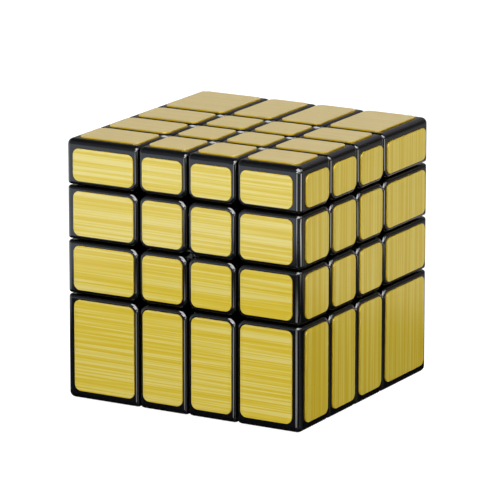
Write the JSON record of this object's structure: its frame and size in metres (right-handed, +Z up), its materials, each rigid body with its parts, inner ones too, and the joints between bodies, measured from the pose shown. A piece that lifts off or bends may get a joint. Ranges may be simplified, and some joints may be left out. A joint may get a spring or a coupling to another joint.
{
  "type": "mirror block cube",
  "caption": "Cube-shaped turning puzzle of black blocks of unequal size with gold foil faces; its level layers turn about an upright axis.",
  "frame": {"origin": "middle of the bottom face, at the bottom foils", "axes": "+Z up; -Y is the front face, the wide one on the left in the picture; +X is the other side face in view"},
  "size_m": [0.06, 0.06, 0.06],
  "materials": {
    "black_plastic": "polished moulded",
    "gold_foil": "brushed gold film",
    "core_plastic": "moulded",
    "cap_plastic": "moulded",
    "screw_steel": "plated"
  },
  "bodies": {
    "core": {"core_ball": "core_plastic", "core_caps": "cap_plastic", "core_screws": "screw_steel"},
    "top_layer": {"top_front_left_corner": "black_plastic", "top_front_right_corner": "black_plastic", "top_back_left_corner": "black_plastic", "top_back_right_corner": "black_plastic", "top_front_edge_left": "black_plastic", "top_front_edge_right": "black_plastic", "top_back_edge_left": "black_plastic", "top_back_edge_right": "black_plastic", "top_left_edge_front": "black_plastic", "top_left_edge_back": "black_plastic", "top_right_edge_front": "black_plastic", "top_right_edge_back": "black_plastic", "top_centre_front_left": "black_plastic", "top_centre_front_right": "black_plastic", "top_centre_back_left": "black_plastic", "top_centre_back_right": "black_plastic", "top_foils": "gold_foil", "top_layer_side_foils": "gold_foil"},
    "upper_layer": {"upper_front_left_edge": "black_plastic", "upper_front_right_edge": "black_plastic", "upper_back_left_edge": "black_plastic", "upper_back_right_edge": "black_plastic", "upper_front_centres": "black_plastic", "upper_back_centres": "black_plastic", "upper_left_centres": "black_plastic", "upper_right_centres": "black_plastic", "upper_layer_side_foils": "gold_foil"},
    "lower_layer": {"lower_front_left_edge": "black_plastic", "lower_front_right_edge": "black_plastic", "lower_back_left_edge": "black_plastic", "lower_back_right_edge": "black_plastic", "lower_front_centres": "black_plastic", "lower_back_centres": "black_plastic", "lower_left_centres": "black_plastic", "lower_right_centres": "black_plastic", "lower_layer_side_foils": "gold_foil"},
    "bottom_layer": {"bottom_front_left_corner": "black_plastic", "bottom_front_right_corner": "black_plastic", "bottom_back_left_corner": "black_plastic", "bottom_back_right_corner": "black_plastic", "bottom_front_edge_left": "black_plastic", "bottom_front_edge_right": "black_plastic", "bottom_back_edge_left": "black_plastic", "bottom_back_edge_right": "black_plastic", "bottom_left_edge_front": "black_plastic", "bottom_left_edge_back": "black_plastic", "bottom_right_edge_front": "black_plastic", "bottom_right_edge_back": "black_plastic", "bottom_centre_front_left": "black_plastic", "bottom_centre_front_right": "black_plastic", "bottom_centre_back_left": "black_plastic", "bottom_centre_back_right": "black_plastic", "bottom_layer_side_foils": "gold_foil", "bottom_foils": "gold_foil"}
  },
  "joints": [
    {"name": "top_layer_turn", "type": "hinge", "parent": "core", "child": "top_layer", "pos_m": [0.0013, -0.0041, 0.0368], "axis": [0, 0, 1], "continuous": true},
    {"name": "upper_layer_turn", "type": "hinge", "parent": "core", "child": "upper_layer", "pos_m": [0.0013, -0.0041, 0.0368], "axis": [0, 0, 1], "continuous": true},
    {"name": "lower_layer_turn", "type": "hinge", "parent": "core", "child": "lower_layer", "pos_m": [0.0013, -0.0041, 0.0368], "axis": [0, 0, 1], "continuous": true},
    {"name": "bottom_layer_turn", "type": "hinge", "parent": "core", "child": "bottom_layer", "pos_m": [0.0013, -0.0041, 0.0368], "axis": [0, 0, 1], "continuous": true}
  ]
}
